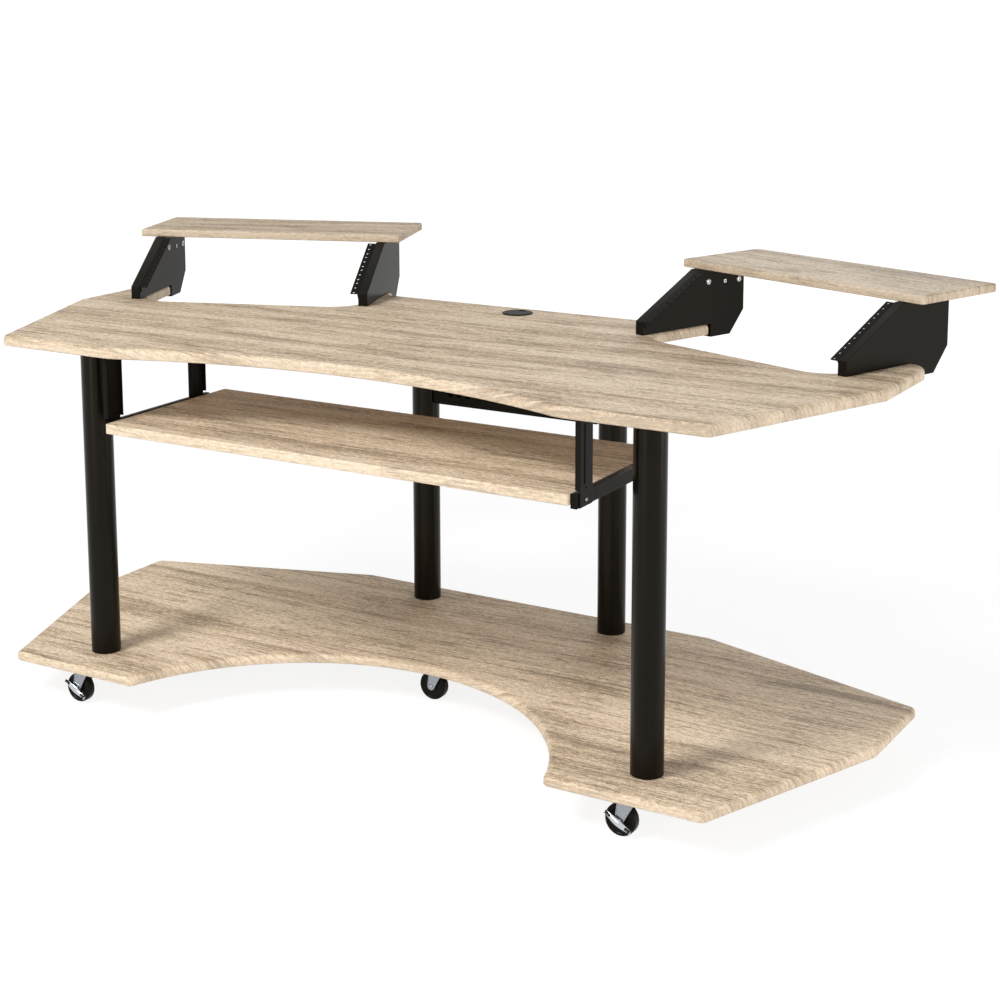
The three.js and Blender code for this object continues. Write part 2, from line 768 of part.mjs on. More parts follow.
// The rearmost point is on the rounded inner back corner of a shelf
const cornerInset = shelfCorner * (Math.cos(bayAngle) + Math.sin(bayAngle) - 1);
const backCorner = fromBay(1, shelfOutward - shelfWidth / 2, shelfFrontInBay + shelfDepth);
desk.position.y = (cornerInset - backCorner[1]) / 2;

export default desk;
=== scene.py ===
import math

import bmesh
import bpy
from mathutils import Matrix, Vector


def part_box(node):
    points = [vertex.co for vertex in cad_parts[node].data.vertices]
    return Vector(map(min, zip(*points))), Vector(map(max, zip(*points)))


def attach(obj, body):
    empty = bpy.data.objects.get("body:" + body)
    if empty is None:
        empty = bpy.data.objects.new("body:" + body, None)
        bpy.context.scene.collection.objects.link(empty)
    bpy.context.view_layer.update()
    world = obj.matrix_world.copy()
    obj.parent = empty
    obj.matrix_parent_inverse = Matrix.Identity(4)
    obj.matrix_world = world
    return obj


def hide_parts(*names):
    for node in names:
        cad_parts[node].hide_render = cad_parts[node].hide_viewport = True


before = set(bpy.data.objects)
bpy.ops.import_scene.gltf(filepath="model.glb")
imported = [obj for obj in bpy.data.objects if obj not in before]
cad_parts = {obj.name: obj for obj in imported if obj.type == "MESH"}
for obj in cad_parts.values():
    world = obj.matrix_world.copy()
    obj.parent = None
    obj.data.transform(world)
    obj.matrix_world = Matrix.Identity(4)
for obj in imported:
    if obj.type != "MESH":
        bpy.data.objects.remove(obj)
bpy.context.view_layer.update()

scene = bpy.context.scene
print("frame loaded")

# Pieces are drawn in millimetres, with y measured back from the base board's front edge
toFrame = Matrix.Translation((0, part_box("base_board")[0].y, 0)) @ Matrix.Scale(0.001, 4)
sides = {"left": -1, "right": 1}
legNames = ["front_left", "front_right", "rear_left", "rear_right"]


# Node trees
class Wire:                              # a node's output that takes part in sums
    def __init__(self, graph, socket):
        self.graph, self.socket = graph, socket

    def sum(self, operation, first, second):
        return self.graph.node("ShaderNodeMath", {"operation": operation}, {0: first, 1: second})

    def __add__(self, other):
        return self.sum("ADD", self, other)

    def __sub__(self, other):
        return self.sum("SUBTRACT", self, other)

    def __mul__(self, other):
        return self.sum("MULTIPLY", self, other)

    def __rsub__(self, other):
        return self.sum("SUBTRACT", other, self)

    __radd__ = __add__
    __rmul__ = __mul__


class Graph:                             # a node tree of any kind, written node by node
    def __init__(self, tree):
        self.tree = tree

    def node(self, kind, settings=None, values=None, out=0):
        made = self.tree.nodes.new(kind)
        for name, value in (settings or {}).items():
            if name == "stops":          # a ramp's places and colours
                while len(made.color_ramp.elements) < len(value):
                    made.color_ramp.elements.new(0.5)
                for stop, (place, colour) in zip(made.color_ramp.elements, value):
                    stop.position, stop.color = place, (*colour, 1)
            else:
                setattr(made, name, value)
        for socket, value in (values or {}).items():
            if isinstance(value, Wire):
                self.tree.links.new(value.socket, made.inputs[socket])
            else:
                made.inputs[socket].default_value = value
        return Wire(self, made.outputs[out]) if made.outputs else None


class Finish(Graph):                     # a material with one Principled shader
    def __init__(self, name, **constants):
        self.material = bpy.data.materials.new(name)
        self.material.use_nodes = True
        super().__init__(self.material.node_tree)
        self.shader = self.tree.nodes["Principled BSDF"]
        for socket, value in constants.items():
            self.shader.inputs[socket.replace("_", " ")].default_value = value

    def feed(self, socket, wire):
        self.tree.links.new(wire.socket, self.shader.inputs[socket])

    def noise(self, place, scale, detail=2.0, roughness=0.5, kind="3D"):
        stretch = self.node("ShaderNodeVectorMath", {"operation": "MULTIPLY"}, {0: place, 1: scale})
        return self.node("ShaderNodeTexNoise", {"noise_dimensions": kind},
                         {"Vector": stretch, "Scale": 1.0, "Detail": detail, "Roughness": roughness})

    def blend(self, factor, first, second, way="MIX"):
        return self.node("ShaderNodeMix", {"data_type": "RGBA", "blend_type": way},
                         {0: factor, 6: first, 7: second}, 2)    # its colour sockets

    def ramp(self, wire, stops):
        return self.node("ShaderNodeValToRGB", {"stops": stops}, {0: wire})

    def bump(self, height, distance, strength=1.0):
        self.feed("Normal", self.node("ShaderNodeBump", None, {
            "Strength": strength, "Distance": distance, "Height": height}))


def grey(value):
    return value, value, value


def objectPlace(finish):                 # metres in the object's own space
    return finish.node("ShaderNodeTexCoord", out="Object")


# Finishes
oakLook = {
    "dark": (0.315, 0.240, 0.166), "tan": (0.450, 0.346, 0.236), "body": (0.560, 0.440, 0.310),
    "pale": (0.672, 0.550, 0.412), "line": (0.205, 0.148, 0.098), "rim": (0.560, 0.458, 0.345),
    "toneStops": {"dark": 0.425, "tan": 0.467, "body": 0.502, "pale": 0.56},
    "poreStops": [(0.375, 0.58), (0.450, 0.0)], "speckleStops": [(0.37, 0.76), (0.5, 1.0), (0.63, 1.17)],
    "sway": (0.9, 2.6, 1), "swayBy": 0.05, "drift": (5.0, 17, 1), "driftBy": 0.008,
    "rimShare": 0.5, "grainDepth": 0.00010,
}
oakLayers = {                            # waves a metre along and across, roughness, share of the tone
    "bands": ((0.9, 21, 1), 0.55, 0.24), "rings": ((3.2, 120, 1), 0.60, 0.20),
    "dashes": ((17, 240, 1), 0.60, 0.18), "specks": ((75, 280, 1), 0.65, 0.15),
    "sawn": ((260, 190, 1), 0.70, 0.10), "figure": ((5, 16, 1), 0.60, 0.13),
}


def oakFoil(name, shade=1.0):            # shade makes lit and shaded copies of one foil: painted light and painted shade
    finish = Finish(name, Specular_IOR_Level=0.16)
    tones = {key: tuple(c * shade for c in oakLook[key])
             for key in ("dark", "tan", "body", "pale", "line", "rim")}
    foil = finish.node("ShaderNodeUVMap", {"uv_map": "foil"})
    # Slow waves push the grain lines sideways, as in a plain-sawn board
    sway = finish.noise(foil, oakLook["sway"], 2.0, 0.5, "2D") - 0.5
    drift = finish.noise(foil, oakLook["drift"], 2.0, 0.5, "2D") - 0.5
    offset = finish.node("ShaderNodeCombineXYZ", None, {
        1: sway * oakLook["swayBy"] + drift * oakLook["driftBy"]})
    bent = finish.node("ShaderNodeVectorMath", {"operation": "ADD"}, {0: foil, 1: offset})
    layer = {}
    for key, (scale, roughness, _) in oakLayers.items():
        straight = key in ("sawn", "figure")
        layer[key] = finish.noise(foil if straight else bent, scale, 3.0, roughness, "2D")
    tone = sum(layer[key] * share for key, (_, _, share) in oakLayers.items())
    body = finish.ramp(tone, [(at, tones[key]) for key, at in oakLook["toneStops"].items()])
    # Short dark pores gather where the figure is dark
    pores = finish.ramp(layer["dashes"] * 0.45 + layer["figure"] * 0.3 + layer["rings"] * 0.25,
                        [(at, grey(value)) for at, value in oakLook["poreStops"]])
    veined = finish.blend(pores, body, (*tones["line"], 1))
    speckle = finish.ramp(layer["specks"] * 0.65 + layer["sawn"] * 0.35,
                          [(at, grey(value)) for at, value in oakLook["speckleStops"]])
    grained = finish.blend(1.0, veined, speckle, "MULTIPLY")
    # Around the edges the foil is stretched, so its figure is fainter there
    edge = finish.node("ShaderNodeAttribute", {"attribute_name": "edge"}, out="Fac")
    finish.feed("Base Color", finish.blend(edge * oakLook["rimShare"], grained, (*tones["rim"], 1)))
    finish.feed("Roughness", 0.66 - layer["sawn"] * 0.16)
    finish.bump(layer["dashes"] * 0.4 + layer["specks"] * 0.3 + layer["sawn"] * 0.4,
                oakLook["grainDepth"], 0.5)
    return finish.material


warmGloss = (1.0, 0.89, 0.72, 1)         # the black parts shine a little warm


def powderCoat(name, colour, roughness, gloss=1.15, peel=0.00004):    # black steel, faintly orange-peeled
    finish = Finish(name, Specular_IOR_Level=0.45, Specular_Tint=warmGloss, IOR=gloss)
    place = objectPlace(finish)
    grain = finish.noise(place, (700, 700, 700), 3.0)
    cloud = finish.noise(place, (9, 9, 9), 3.0)
    dark = (*[c * 0.82 for c in colour], 1)
    finish.feed("Base Color", finish.blend(cloud, dark, (*[c * 1.15 for c in colour], 1)))
    finish.feed("Roughness", roughness - 0.05 + cloud * 0.1)
    finish.bump(grain, peel, 0.6)
    return finish.material


def zincPlate(name, colour, roughness):  # bright plating with clouds and fine scuffs
    finish = Finish(name, Metallic=1.0)
    place = objectPlace(finish)
    cloud = finish.noise(place, (60, 60, 60), 4.0, 0.6)
    scuff = finish.noise(place, (900, 260, 260), 3.0)
    finish.feed("Base Color", finish.blend(cloud, (*[c * 0.8 for c in colour], 1), (*colour, 1)))
    finish.feed("Roughness", roughness - 0.09 + cloud * 0.18)
    finish.bump(scuff, 0.00002, 0.5)
    return finish.material


def mouldedPlastic(name, colour, roughness, texture, gloss=1.2):    # black, with a trace of dust
    finish = Finish(name, Specular_IOR_Level=0.4, Specular_Tint=warmGloss, IOR=gloss)
    place = objectPlace(finish)
    grain = finish.noise(place, (1500, 1500, 1500), 2.0)
    dust = finish.noise(place, (40, 40, 40), 4.0, 0.65)
    finish.feed("Base Color", finish.blend(dust, (*colour, 1), (*[c * 1.5 for c in colour], 1)))
    finish.feed("Roughness", roughness - 0.04 + dust * 0.12)
    finish.bump(grain, texture, 0.5)
    return finish.material


finishes = {
    "oak_foil": oakFoil("oakFoil"),
    # Lit and shaded copies of the one foil: the base and tray are lightened as painted light against the
    # desktop's shadow over them, and the shelves are darkened, partly as painted shade and partly as their
    # own tone
    "oak_lit_low": oakFoil("oakLow", 1.09),
    "oak_shaded_shelf": oakFoil("oakShelf", 0.87),
    "black_paint": powderCoat("blackPaint", (0.0078, 0.0068, 0.0052), 0.32),
    # The leg tubes take a glossier copy of the black paint, darkened as painted shade for the dark
    # surroundings that their middles reflect
    "tube_paint_shaded": powderCoat("tubePaint", (0.0034, 0.0028, 0.0019), 0.26, 1.27, 0.00001),
    "rail_black": powderCoat("railBlack", (0.0050, 0.0045, 0.0036), 0.30),
    "slide_black": powderCoat("slideBlack", (0.0060, 0.0055, 0.0046), 0.34, peel=0.00002),
    "bolt_zinc": zincPlate("boltZinc", (0.44, 0.44, 0.43), 0.30),
    "caster_zinc": zincPlate("casterZinc", (0.36, 0.375, 0.40), 0.26),
    "pedal_zinc": zincPlate("pedalZinc", (0.62, 0.64, 0.67), 0.15),
    "black_plastic": mouldedPlastic("blackPlastic", (0.0075, 0.0072, 0.0065), 0.36, 0.00003, 1.1),
    "wheel_black": mouldedPlastic("wheelBlack", (0.0060, 0.0054, 0.0042), 0.30, 0.00001),
}
print("finishes made")


# Flat outlines and the shapes drawn from them
def rounded(corners, stepDegrees=9, closed=True):    # a corner (a, b, radius) becomes an arc
    points = []
    for i, corner in enumerate(corners):
        at = Vector(corner[:2])
        ends = not closed and i in (0, len(corners) - 1)
        if len(corner) < 3 or not corner[2] or ends:
            points.append(at)
            continue
        back = (Vector(corners[i - 1][:2]) - at).normalized()
        on = (Vector(corners[(i + 1) % len(corners)][:2]) - at).normalized()
        half = math.acos(max(-1.0, min(1.0, back.dot(on)))) / 2
        centre = at + (back + on).normalized() * corner[2] / math.sin(half)
        start = at + back * corner[2] / math.tan(half) - centre
        turn = math.pi - 2 * half
        toCorner = at - centre
        side = 1 if start.x * toCorner.y - start.y * toCorner.x > 0 else -1
        steps = max(1, math.ceil(math.degrees(turn) / stepDegrees))
        for k in range(steps + 1):
            points.append(centre + Matrix.Rotation(side * turn * k / steps, 2) @ start)
    return points


def outward(outline):                    # unit normals of an anticlockwise outline, longer at corners
    normals = []
    for i, at in enumerate(outline):
        a = (at - outline[i - 1]).normalized()
        b = (outline[(i + 1) % len(outline)] - at).normalized()
        middle = Vector((a.y + b.y, -a.x - b.x)).normalized()
        normals.append(middle / max(0.3, middle.dot(Vector((a.y, -a.x)))))
    return normals


def boxOutline(x0, x1, y0, y1, corner):
    return rounded([(x0, y0, corner), (x1, y0, corner), (x1, y1, corner), (x0, y1, corner)])


def plate(outline, low, high, up="Z"):   # a flat prism; up names the axis it is thick along
    count = len(outline)
    turn = {"Z": lambda a, b, c: (a, b, c), "Y": lambda a, b, c: (a, c, b),
            "X": lambda a, b, c: (c, a, b)}[up]
    points = [turn(p[0], p[1], h) for h in (low, high) for p in outline]
    faces = [list(range(count)), list(range(count, 2 * count))]
    faces += [[k, (k + 1) % count, count + (k + 1) % count, count + k] for k in range(count)]
    return points, faces


def turned(profile, count=48):           # a profile of (radius, height) turned about Z
    points, faces, rings = [], [], []
    for k, (radius, height) in enumerate(profile):
        if k and k == len(profile) - 1 and tuple(profile[0]) == (radius, height):
            rings.append(rings[0])
            continue
        around = 1 if radius < 1e-6 else count
        rings.append(list(range(len(points), len(points) + around)))
        for step in range(around):
            angle = 2 * math.pi * step / count
            points.append((radius * math.cos(angle), radius * math.sin(angle), height))
    for low, high in zip(rings, rings[1:]):
        for k in range(count):
            face = [low[k % len(low)], low[(k + 1) % len(low)]]
            face += [high[(k + 1) % len(high)], high[k % len(high)]]
            faces.append(list(dict.fromkeys(face)))        # a ring on the axis is one point
    return points, faces


def block(low, high):
    x0, y0, z0 = low
    x1, y1, z1 = high
    return plate([(x0, y0), (x1, y0), (x1, y1), (x0, y1)], z0, z1)


def moved(shape, matrix):
    return [tuple(matrix @ Vector(p)) for p in shape[0]], shape[1]


def together(*shapes):
    points, faces = [], []
    for more, its in shapes:
        faces += [[v + len(points) for v in face] for face in its]
        points += more
    return points, faces


axisY = Matrix.Rotation(-math.pi / 2, 4, "X")    # turns a shape drawn about Z to lie along Y


# Objects
def meshOf(name, shape, matrix=toFrame):
    mesh = bpy.data.meshes.new(name)
    mesh.from_pydata([matrix @ Vector(p) for p in shape[0]], [], shape[1])
    tidyMesh(mesh)
    return mesh


def tidyMesh(mesh):
    work = bmesh.new()
    work.from_mesh(mesh)
    bmesh.ops.remove_doubles(work, verts=work.verts, dist=1e-6)
    bmesh.ops.recalc_face_normals(work, faces=work.faces)
    work.to_mesh(mesh)
    work.free()


# Every piece gets its finish, smooth shading and eased edges here, and rides on its body
def finished(obj, slotName, body, nodes=(), bevel=0.0, segments=2, sharp=35, look=None):
    obj.data.materials.clear()
    obj.data.materials.append(finishes[look or slotName])
    obj.data.polygons.foreach_set("use_smooth", [True] * len(obj.data.polygons))
    obj.data.set_sharp_from_angle(angle=math.radians(sharp))
    if bevel:
        ease = obj.modifiers.new("ease", "BEVEL")
        ease.width, ease.segments = bevel, segments
        ease.limit_method, ease.angle_limit = "ANGLE", math.radians(sharp)
    level = obj.modifiers.new("level", "WEIGHTED_NORMAL")
    level.keep_sharp = not bevel
    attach(obj, body)
    if nodes:
        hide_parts(*nodes)
    return obj


def piece(name, shape, slotName, body, nodes=(), matrix=toFrame, **looks):
    obj = bpy.data.objects.new(name, meshOf(name, shape, matrix))
    scene.collection.objects.link(obj)
    return finished(obj, slotName, body, nodes, **looks)


# A folded steel part is a copy of its solid, with loose triangles merged and edges eased
def refined(name, node, slotName, body, **looks):
    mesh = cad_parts[node].data.copy()
    mesh.name = name
    tidyMesh(mesh)
    work = bmesh.new()
    work.from_mesh(mesh)
    bmesh.ops.dissolve_limit(work, angle_limit=0.02, verts=work.verts, edges=work.edges)
    work.to_mesh(mesh)
    work.free()
    obj = bpy.data.objects.new(name, mesh)
    scene.collection.objects.link(obj)
    return finished(obj, slotName, body, [node], **looks)


# Geometry Nodes: a piece repeated at marked places, and a section punched at them
def newTree(name, sockets):
    tree = bpy.data.node_groups.new(name, "GeometryNodeTree")
    tree.interface.new_socket("Geometry", in_out="INPUT", socket_type="NodeSocketGeometry")
    for label, kind in sockets.items():
        tree.interface.new_socket(label, in_out="INPUT", socket_type="NodeSocket" + kind)
    tree.interface.new_socket("Geometry", in_out="OUTPUT", socket_type="NodeSocketGeometry")
    graph = Graph(tree)
    entry = tree.nodes.new("NodeGroupInput")
    return graph, {socket.name: Wire(graph, socket) for socket in entry.outputs if socket.name}


def endTree(graph, wire):
    graph.node("NodeGroupOutput", None, {0: wire})
    return graph.tree


def facingTurn(graph):                   # stands a piece's own Z along the way that its mark faces
    facing = graph.node("GeometryNodeInputNamedAttribute", {"data_type": "FLOAT_VECTOR"}, {"Name": "facing"})
    return graph.node("FunctionNodeAlignRotationToVector", {"axis": "Z"}, {"Vector": facing})


def scatterTree():
    graph, given = newTree("repeatAtPlaces", {"Piece": "Object", "Material": "Material"})
    single = graph.node("GeometryNodeObjectInfo", None, {"Object": given["Piece"]}, "Geometry")
    places = graph.node("GeometryNodeMeshToPoints", None, {"Mesh": given["Geometry"]})
    copies = graph.node("GeometryNodeInstanceOnPoints", None, {
        "Points": places, "Instance": single, "Rotation": facingTurn(graph)})
    real = graph.node("GeometryNodeRealizeInstances", None, {0: copies})
    return endTree(graph, graph.node("GeometryNodeSetMaterial", None, {
        "Geometry": real, "Material": given["Material"]}))


def punchTree():
    graph, given = newTree("punchAtPlaces", {
        "Places": "Object", "Hole Radius": "Float", "Hole Sides": "Int", "Depth": "Float",
        "Material": "Material"})
    marks = graph.node("GeometryNodeObjectInfo", None, {"Object": given["Places"]}, "Geometry")
    drill = graph.node("GeometryNodeMeshCylinder", None, {
        "Vertices": given["Hole Sides"], "Radius": given["Hole Radius"], "Depth": given["Depth"]})
    places = graph.node("GeometryNodeMeshToPoints", None, {"Mesh": marks})
    drills = graph.node("GeometryNodeInstanceOnPoints", None, {
        "Points": places, "Instance": drill, "Rotation": facingTurn(graph)})
    real = graph.node("GeometryNodeRealizeInstances", None, {0: drills})
    punched = graph.node("GeometryNodeMeshBoolean", {"operation": "DIFFERENCE", "solver": "EXACT"}, {
        "Mesh 1": given["Geometry"], "Mesh 2": real})
    return endTree(graph, graph.node("GeometryNodeSetMaterial", None, {
        "Geometry": punched, "Material": given["Material"]}))


trees = {"scatter": scatterTree(), "punch": punchTree()}
punchSizes = {"sides": 20, "depth": 0.012}


def marks(name, places, matrix=toFrame):    # loose points, given as (point, facing)
    mesh = bpy.data.meshes.new(name)
    mesh.from_pydata([matrix @ Vector(p) for p, _ in places], [], [])
    facing = mesh.attributes.new("facing", "FLOAT_VECTOR", "POINT")
    turn = matrix.to_3x3()
    for k, (_, way) in enumerate(places):
        facing.data[k].vector = (turn @ Vector(way)).normalized()
    obj = bpy.data.objects.new(name, mesh)
    scene.collection.objects.link(obj)
    return obj


def grown(name, base, tree, values):     # runs a tree once and keeps its result as a plain mesh
    run = base.modifiers.new("grow", "NODES")
    run.node_group = trees[tree]
    for socket in run.node_group.interface.items_tree:
        if socket.in_out == "INPUT" and socket.name in values:
            run[socket.identifier] = values[socket.name]
    bpy.context.view_layer.update()
    graph = bpy.context.evaluated_depsgraph_get()
    mesh = bpy.data.meshes.new_from_object(base.evaluated_get(graph), depsgraph=graph)
    mesh.name = name
    base.modifiers.remove(run)
    obj = bpy.data.objects.new(name, mesh)
    scene.collection.objects.link(obj)
    return obj


# One small piece, repeated at its places, is one object
def scattered(name, shape, places, slotName, body, nodes=(), matrix=toFrame, **looks):
    single = bpy.data.objects.new(name + "Single", meshOf(name + "Single", shape, Matrix.Scale(0.001, 4)))
    scene.collection.objects.link(single)
    base = marks(name + "Places", places, matrix)
    obj = grown(name, base, "scatter", {"Piece": single, "Material": finishes[slotName]})
    bpy.data.objects.remove(base)
    bpy.data.objects.remove(single)
    return finished(obj, slotName, body, nodes, **looks)


# A folded section with a hole punched through it at each place
def punched(name, shape, places, radius, slotName, body, nodes=(), matrix=toFrame, **looks):
    base = bpy.data.objects.new(name + "Plain", meshOf(name + "Plain", shape, matrix))
    scene.collection.objects.link(base)
    holes = marks(name + "Holes", places, matrix)
    obj = grown(name, base, "punch", {
        "Places": holes, "Hole Radius": radius * 0.001, "Hole Sides": punchSizes["sides"],
        "Depth": punchSizes["depth"], "Material": finishes[slotName]})
    bpy.data.objects.remove(base)
    bpy.data.objects.remove(holes)
    return finished(obj, slotName, body, nodes, **looks)


# Boards: foil-wrapped, with a round-over at the top edge
boardEdge = {"topRound": 8.0, "underRound": 2.0, "steps": 6}
baseSizes = {
    "frontHalf": 753, "wingHalf": 904, "wingFront": 398, "wingBack": 618, "backHalf": 416, "back": 774,
    "arcRadius": 474, "arcApex": 342, "frontCorner": 14, "wingCorner": 16, "arcSteps": 60,
}
topSizes = {
    "front": 1, "frontHalf": 753, "wingHalf": 907, "wingFront": 390, "back": 768, "arcRadius": 1300,
    "arcApex": 92.5, "arcEase": 120, "arcSteps": 36, "tongue": 188, "tongueTip": 52, "tongueMargin": 8,
    "backStep": 14, "backCorner": 10, "tightCorner": 9, "cableHoleAt": (0, 708), "cableHole": 29.3,
}
bay = {"angle": math.radians(19.4), "x": 563.3, "y": 533.2, "width": 486, "notchFront": -11.5,
       "notchRound": 72, "bracketWidth": 20}
traySizes = {"half": 500, "front": 5, "depth": 362, "corner": 4, "ease": 1.2}
shelfSizes = {"width": 593, "depth": 219, "front": 160, "outward": 2.5, "corner": 5, "topRound": 4,
              "underRound": 1.5}
foilFrom = {"base_board": (0.0, 0.0), "desktop": (2.3, 1.7), "keyboard_tray": (5.1, 3.9),
            "rack_shelf_left": (7.7, 6.1), "rack_shelf_right": (9.2, 8.3)}
# The base and tray take the lightened copy of the foil, a painted light; the shelves take the darkened copy,
# partly painted shade
boardLooks = {"base_board": "oak_lit_low", "keyboard_tray": "oak_lit_low", "rack_shelf_left": "oak_shaded_shelf",
              "rack_shelf_right": "oak_shaded_shelf"}


def fromBay(side, across, back):         # a bay's own coordinates to the drawing's
    c, s = math.cos(bay["angle"]), math.sin(bay["angle"])
    return side * (bay["x"] + across * c + back * s), bay["y"] - across * s + back * c


def bayMatrix(side):                     # a bay's millimetres to the frame's metres
    place = Matrix.Translation((side * bay["x"], bay["y"], 0))
    return toFrame @ place @ Matrix.Rotation(-side * bay["angle"], 4, "Z")


def cutoutArc(radius, apex, front, endRound, steps):    # the knee cut-out, from left to right
    centre = apex - radius
    reach = math.acos((front - centre) / radius)
    arc = []
    for k in range(steps + 1):
        angle = math.pi / 2 + reach - 2 * reach * k / steps
        arc.append((radius * math.cos(angle), centre + radius * math.sin(angle),
                    endRound if k in (0, steps) else 0))
    return arc


def mirrored(corners):
    return [(-x, y, *rest) for x, y, *rest in reversed(corners)]


def baseOutline():
    s = baseSizes
    right = [(s["frontHalf"], 0, s["frontCorner"]), (s["wingHalf"], s["wingFront"], s["wingCorner"]),
             (s["wingHalf"], s["wingBack"], s["wingCorner"]), (s["backHalf"], s["back"], s["wingCorner"])]
    arc = cutoutArc(s["arcRadius"], s["arcApex"], 0, s["frontCorner"], s["arcSteps"])
    return rounded(arc + right + mirrored(right))


def topOutline():
    s, half = topSizes, bay["width"] / 2
    c, sn = math.cos(bay["angle"]), math.sin(bay["angle"])
    outerTip = (s["wingHalf"] - bay["x"] - s["tongue"] * sn) / c
    innerEnd = fromBay(1, -half - bay["bracketWidth"] - s["tongueMargin"], s["tongue"])
    right = [
        (s["frontHalf"], s["front"], baseSizes["frontCorner"]),
        (s["wingHalf"], s["wingFront"], baseSizes["wingCorner"]),
        (*fromBay(1, outerTip, s["tongue"]), s["tongueTip"]),
        (*fromBay(1, half, s["tongue"]), s["tightCorner"]),
        (*fromBay(1, half, bay["notchFront"]), bay["notchRound"]),
        (*fromBay(1, -half, bay["notchFront"]), bay["notchRound"]),
        (*fromBay(1, -half, s["tongue"]), s["tightCorner"]),
        (*innerEnd, s["tightCorner"]),
        (innerEnd[0] - s["backStep"], s["back"], s["backCorner"]),
    ]
    arc = cutoutArc(s["arcRadius"], s["arcApex"], s["front"], s["arcEase"], s["arcSteps"])
    return rounded(arc + right + mirrored(right))


def boardLevels(low, high, topRound, underRound):    # height, inset and length of foil from the top
    levels = [(low, underRound, topRound * (math.pi / 2 - 1) + high - low),
              (low + underRound, 0, topRound * (math.pi / 2 - 1) + high - low - underRound)]
    for k in range(boardEdge["steps"] + 1):
        angle = math.pi / 2 * (1 - k / boardEdge["steps"])
        levels.append((high - topRound * (1 - math.cos(angle)), topRound * (1 - math.sin(angle)),
                       topRound * angle))
    return levels


# The foil runs over the top and down the edges, so its map does too
def board(node, outline, body, topRound, underRound, matrix=toFrame, hole=None):
    low, high = (v.z * 1000 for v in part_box(node))
    normals = outward(outline)
    levels = boardLevels(low, high, topRound, underRound)
    count, points, foil, edge = len(outline), [], [], []
    shift = Vector(foilFrom[node])
    for height, inset, wrap in levels:
        for at, normal in zip(outline, normals):
            spot = at - normal * inset
            points.append((spot.x, spot.y, height))
            foil.append((at + normal * (wrap - topRound)) * 0.001 + shift)
            edge.append(min(1, wrap / (topRound * math.pi / 2)))
    faces = [list(range(count)), [len(points) - count + k for k in range(count)]]
    for ring in range(len(levels) - 1):
        for k in range(count):
            a, b = ring * count + k, ring * count + (k + 1) % count
            faces.append([a, b, b + count, a + count])
    mesh = bpy.data.meshes.new(node + "Board")
    mesh.from_pydata([matrix @ Vector(p) for p in points], [], faces)
    mesh.attributes.new("edge", "FLOAT", "POINT").data.foreach_set("value", edge)
    layer = mesh.uv_layers.new(name="foil")
    for polygon in mesh.polygons:
        for loop in polygon.loop_indices:
            index = mesh.loops[loop].vertex_index
            if len(polygon.vertices) == count:
                layer.data[loop].uv = Vector(points[index][:2]) * 0.001 + shift
            else:
                layer.data[loop].uv = foil[index]
    work = bmesh.new()
    work.from_mesh(mesh)
    bmesh.ops.recalc_face_normals(work, faces=work.faces)
    work.to_mesh(mesh)
    work.free()
    obj = bpy.data.objects.new(node + "Board", mesh)
    scene.collection.objects.link(obj)
    if hole:
        obj = drilled(obj, hole, low, high)
    return finished(obj, "oak_foil", body, [node], sharp=50, look=boardLooks.get(node))


def drilled(obj, hole, low, high):       # hole is (x, y, radius), from low to high
    x, y, radius = hole
    under, over = low - 5, high + 5      # the drill comes out on both sides
    bit = turned([(0, under), (radius, under), (radius, over), (0, over)])
    drill = bpy.data.objects.new("drill", meshOf("drill", moved(bit, Matrix.Translation((x, y, 0)))))
    scene.collection.objects.link(drill)
    cutter = obj.modifiers.new("cut", "BOOLEAN")
    cutter.operation, cutter.object, cutter.solver = "DIFFERENCE", drill, "EXACT"
    bpy.context.view_layer.update()
    graph = bpy.context.evaluated_depsgraph_get()
    mesh = bpy.data.meshes.new_from_object(obj.evaluated_get(graph), depsgraph=graph)
    obj.modifiers.remove(cutter)
    obj.data = mesh
    bpy.data.objects.remove(drill)
    return obj


board("base_board", baseOutline(), "frame", boardEdge["topRound"], boardEdge["underRound"])
board("desktop", topOutline(), "frame", boardEdge["topRound"], boardEdge["underRound"],
      hole=(*topSizes["cableHoleAt"], topSizes["cableHole"]))
tray, shelf = traySizes, shelfSizes
board("keyboard_tray", boxOutline(-tray["half"], tray["half"], tray["front"],
                                  tray["front"] + tray["depth"], tray["corner"]),
      "tray", tray["ease"], tray["ease"])
for name, side in sides.items():
    middle = side * shelf["outward"]
    board("rack_shelf_" + name, boxOutline(
        middle - shelf["width"] / 2, middle + shelf["width"] / 2, shelf["front"],
        shelf["front"] + shelf["depth"], shelf["corner"]), "frame", shelf["topRound"],
        shelf["underRound"], bayMatrix(side))
print("boards made")


# Legs, their bolts and the perforated beam between the rear ones
legSizes = {"radius": 29, "easedEnd": 0.8, "turnSides": 96}
boltSizes = {"hexCorner": 8.5, "headHeight": 5.5, "washerRadius": 12, "washerThick": 2, "sink": 0.3,
             "ease": 0.0004}
beamSizes = {"sheet": 2, "hole": 6, "pitch": 22.1, "count": 15, "bend": 0.0012}


def millimetres(node):                   # a solid's box in the drawing's units
    inverse = toFrame.inverted()
    return tuple(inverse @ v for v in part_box(node))


def legs():
    for name in legNames:
        low, high = millimetres("leg_" + name)
        centre = (low + high) / 2
        radius, ease = legSizes["radius"], legSizes["easedEnd"]
        profile = [(0, low.z), (radius - ease, low.z), (radius, low.z + ease),
                   (radius, high.z - ease), (radius - ease, high.z), (0, high.z)]
        tube = moved(turned(profile, legSizes["turnSides"]), Matrix.Translation((centre.x, centre.y, 0)))
        # The tubes take the glossier, darker copy of the black paint; its darkening is painted shade
        piece("legTube_" + name, tube, "black_paint", "frame", ["leg_" + name], look="tube_paint_shaded")


